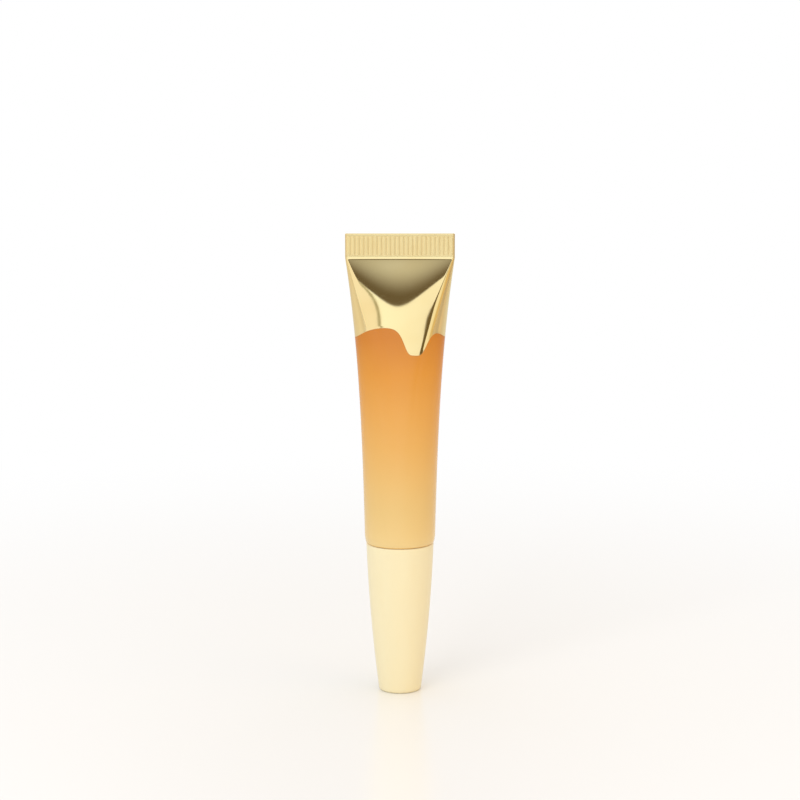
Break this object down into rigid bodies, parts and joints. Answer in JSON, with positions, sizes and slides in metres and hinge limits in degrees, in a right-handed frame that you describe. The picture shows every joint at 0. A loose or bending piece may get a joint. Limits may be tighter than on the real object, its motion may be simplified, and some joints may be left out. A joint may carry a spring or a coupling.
{
  "type": "cuticle oil brush tube",
  "caption": "Slim squeeze tube with a flat welded end, a soft brush tip on a ferrule, and a long tapered screw cap that it stands on.",
  "frame": {"origin": "centre of the cap's flat end, which the tube stands on", "axes": "+Z along the tube from the cap's end to the welded end, X along the width of the welded end, -Y towards the viewer of the picture"},
  "size_m": [0.0246, 0.016, 0.1054],
  "materials": {
    "sleeve": "satin amber squeeze tube with a bright gold foil at its welded end",
    "moulding": "natural moulded plastic",
    "ferrule": "milky moulded plastic",
    "bristle": "fine nylon bristles",
    "oil": "clear amber oil",
    "cap": "satin cream",
    "liner": "natural moulded plastic",
    "washer": "soft white foam"
  },
  "bodies": {
    "cap": {"cap_shell": "cap", "cap_liner": "liner"},
    "washer": {"seal_washer": "washer"},
    "tube": {"tube_sleeve": "sleeve", "tube_shoulder": "moulding", "flow_reducer": "moulding", "brush_ferrule": "ferrule", "feed_tube": "moulding", "brush_bristles": "bristle", "oil_fill": "oil"}
  },
  "joints": [
    {"name": "tube_turn", "type": "hinge", "parent": "cap", "child": "washer", "pos_m": [0, 0, 0.0346], "axis": [0, 0, 1], "range_deg": [0, 720]},
    {"name": "tube_lift", "type": "slide", "parent": "washer", "child": "tube", "axis": [0, 0, 1], "range_m": [0, 0.038]}
  ]
}
